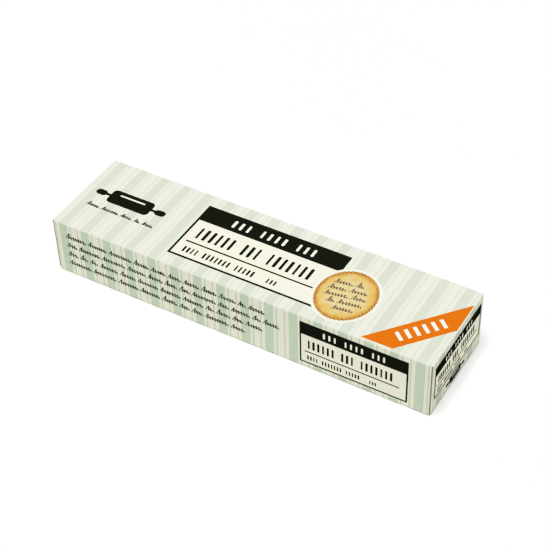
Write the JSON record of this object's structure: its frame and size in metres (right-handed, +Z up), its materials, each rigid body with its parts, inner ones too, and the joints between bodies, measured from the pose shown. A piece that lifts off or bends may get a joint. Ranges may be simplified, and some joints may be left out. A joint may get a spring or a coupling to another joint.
{
  "type": "pastry carton",
  "caption": "Long shut paperboard carton for a rolled sheet of pastry, with creased folds, a glued seam and layered end flaps.",
  "frame": {"origin": "middle of the base, on the surface that the carton rests on", "axes": "+X along the carton towards the end that the picture shows, -Y towards the front panel with the small label, +Z up through the top panel"},
  "size_m": [0.29, 0.0754, 0.045],
  "materials": {
    "board": "printed paperboard, satin, pale sage and cream stripes"
  },
  "bodies": {
    "root": {"carton": "board"}
  },
  "joints": []
}
